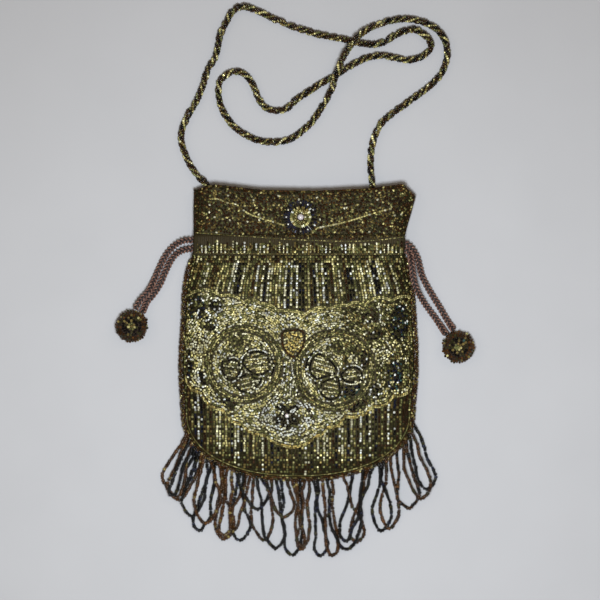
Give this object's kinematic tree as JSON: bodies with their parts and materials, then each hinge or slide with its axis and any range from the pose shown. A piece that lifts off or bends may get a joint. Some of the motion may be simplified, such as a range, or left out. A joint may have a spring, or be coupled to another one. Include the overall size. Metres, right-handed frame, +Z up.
{
  "type": "beaded evening bag",
  "caption": "Flat beaded drawstring pouch lying on its back, with a gathered neck, frilled mouth, long bead-rope strap, ball-ended drawstrings and a looped bead fringe.",
  "frame": {"origin": "on the surface that the bag lies on, under the middle of its back", "axes": "+Y from the fringe to the mouth, +Z up from the back panel to the front panel"},
  "size_m": [0.241, 0.3707, 0.017],
  "materials": {
    "beaded_front": "cloth covered with sewn gold, silver, bronze and black seed and bugle beads",
    "back_satin": "plain bronze satin",
    "ribbed_casing": "olive ribbed channel with silver bugle rows",
    "copper_beads": "copper-brown and black glass seed beads",
    "bead_rope": "twisted rope of brown and gold glass seed beads",
    "plaited_cord": "plaited red-brown cord",
    "ball_beads": "copper, black and gold glass seed beads",
    "dark_bugles": "blue-black and silver bugle beads round a gold centre",
    "pearl": "pearl lustre"
  },
  "bodies": {
    "root": {"front_panel": "beaded_front", "back_panel": "back_satin", "casing_front": "ribbed_casing", "casing_back": "back_satin", "edging_left": "copper_beads", "edging_right": "copper_beads", "fringe": "copper_beads", "strap_left": "bead_rope", "strap_right": "bead_rope", "drawstring_left_upper": "plaited_cord", "drawstring_left_lower": "plaited_cord", "drawstring_right_upper": "plaited_cord", "drawstring_right_lower": "plaited_cord", "ball_left": "ball_beads", "ball_right": "ball_beads", "rosette": "dark_bugles", "rosette_pearl": "pearl", "flower_pearl": "pearl"}
  },
  "joints": []
}
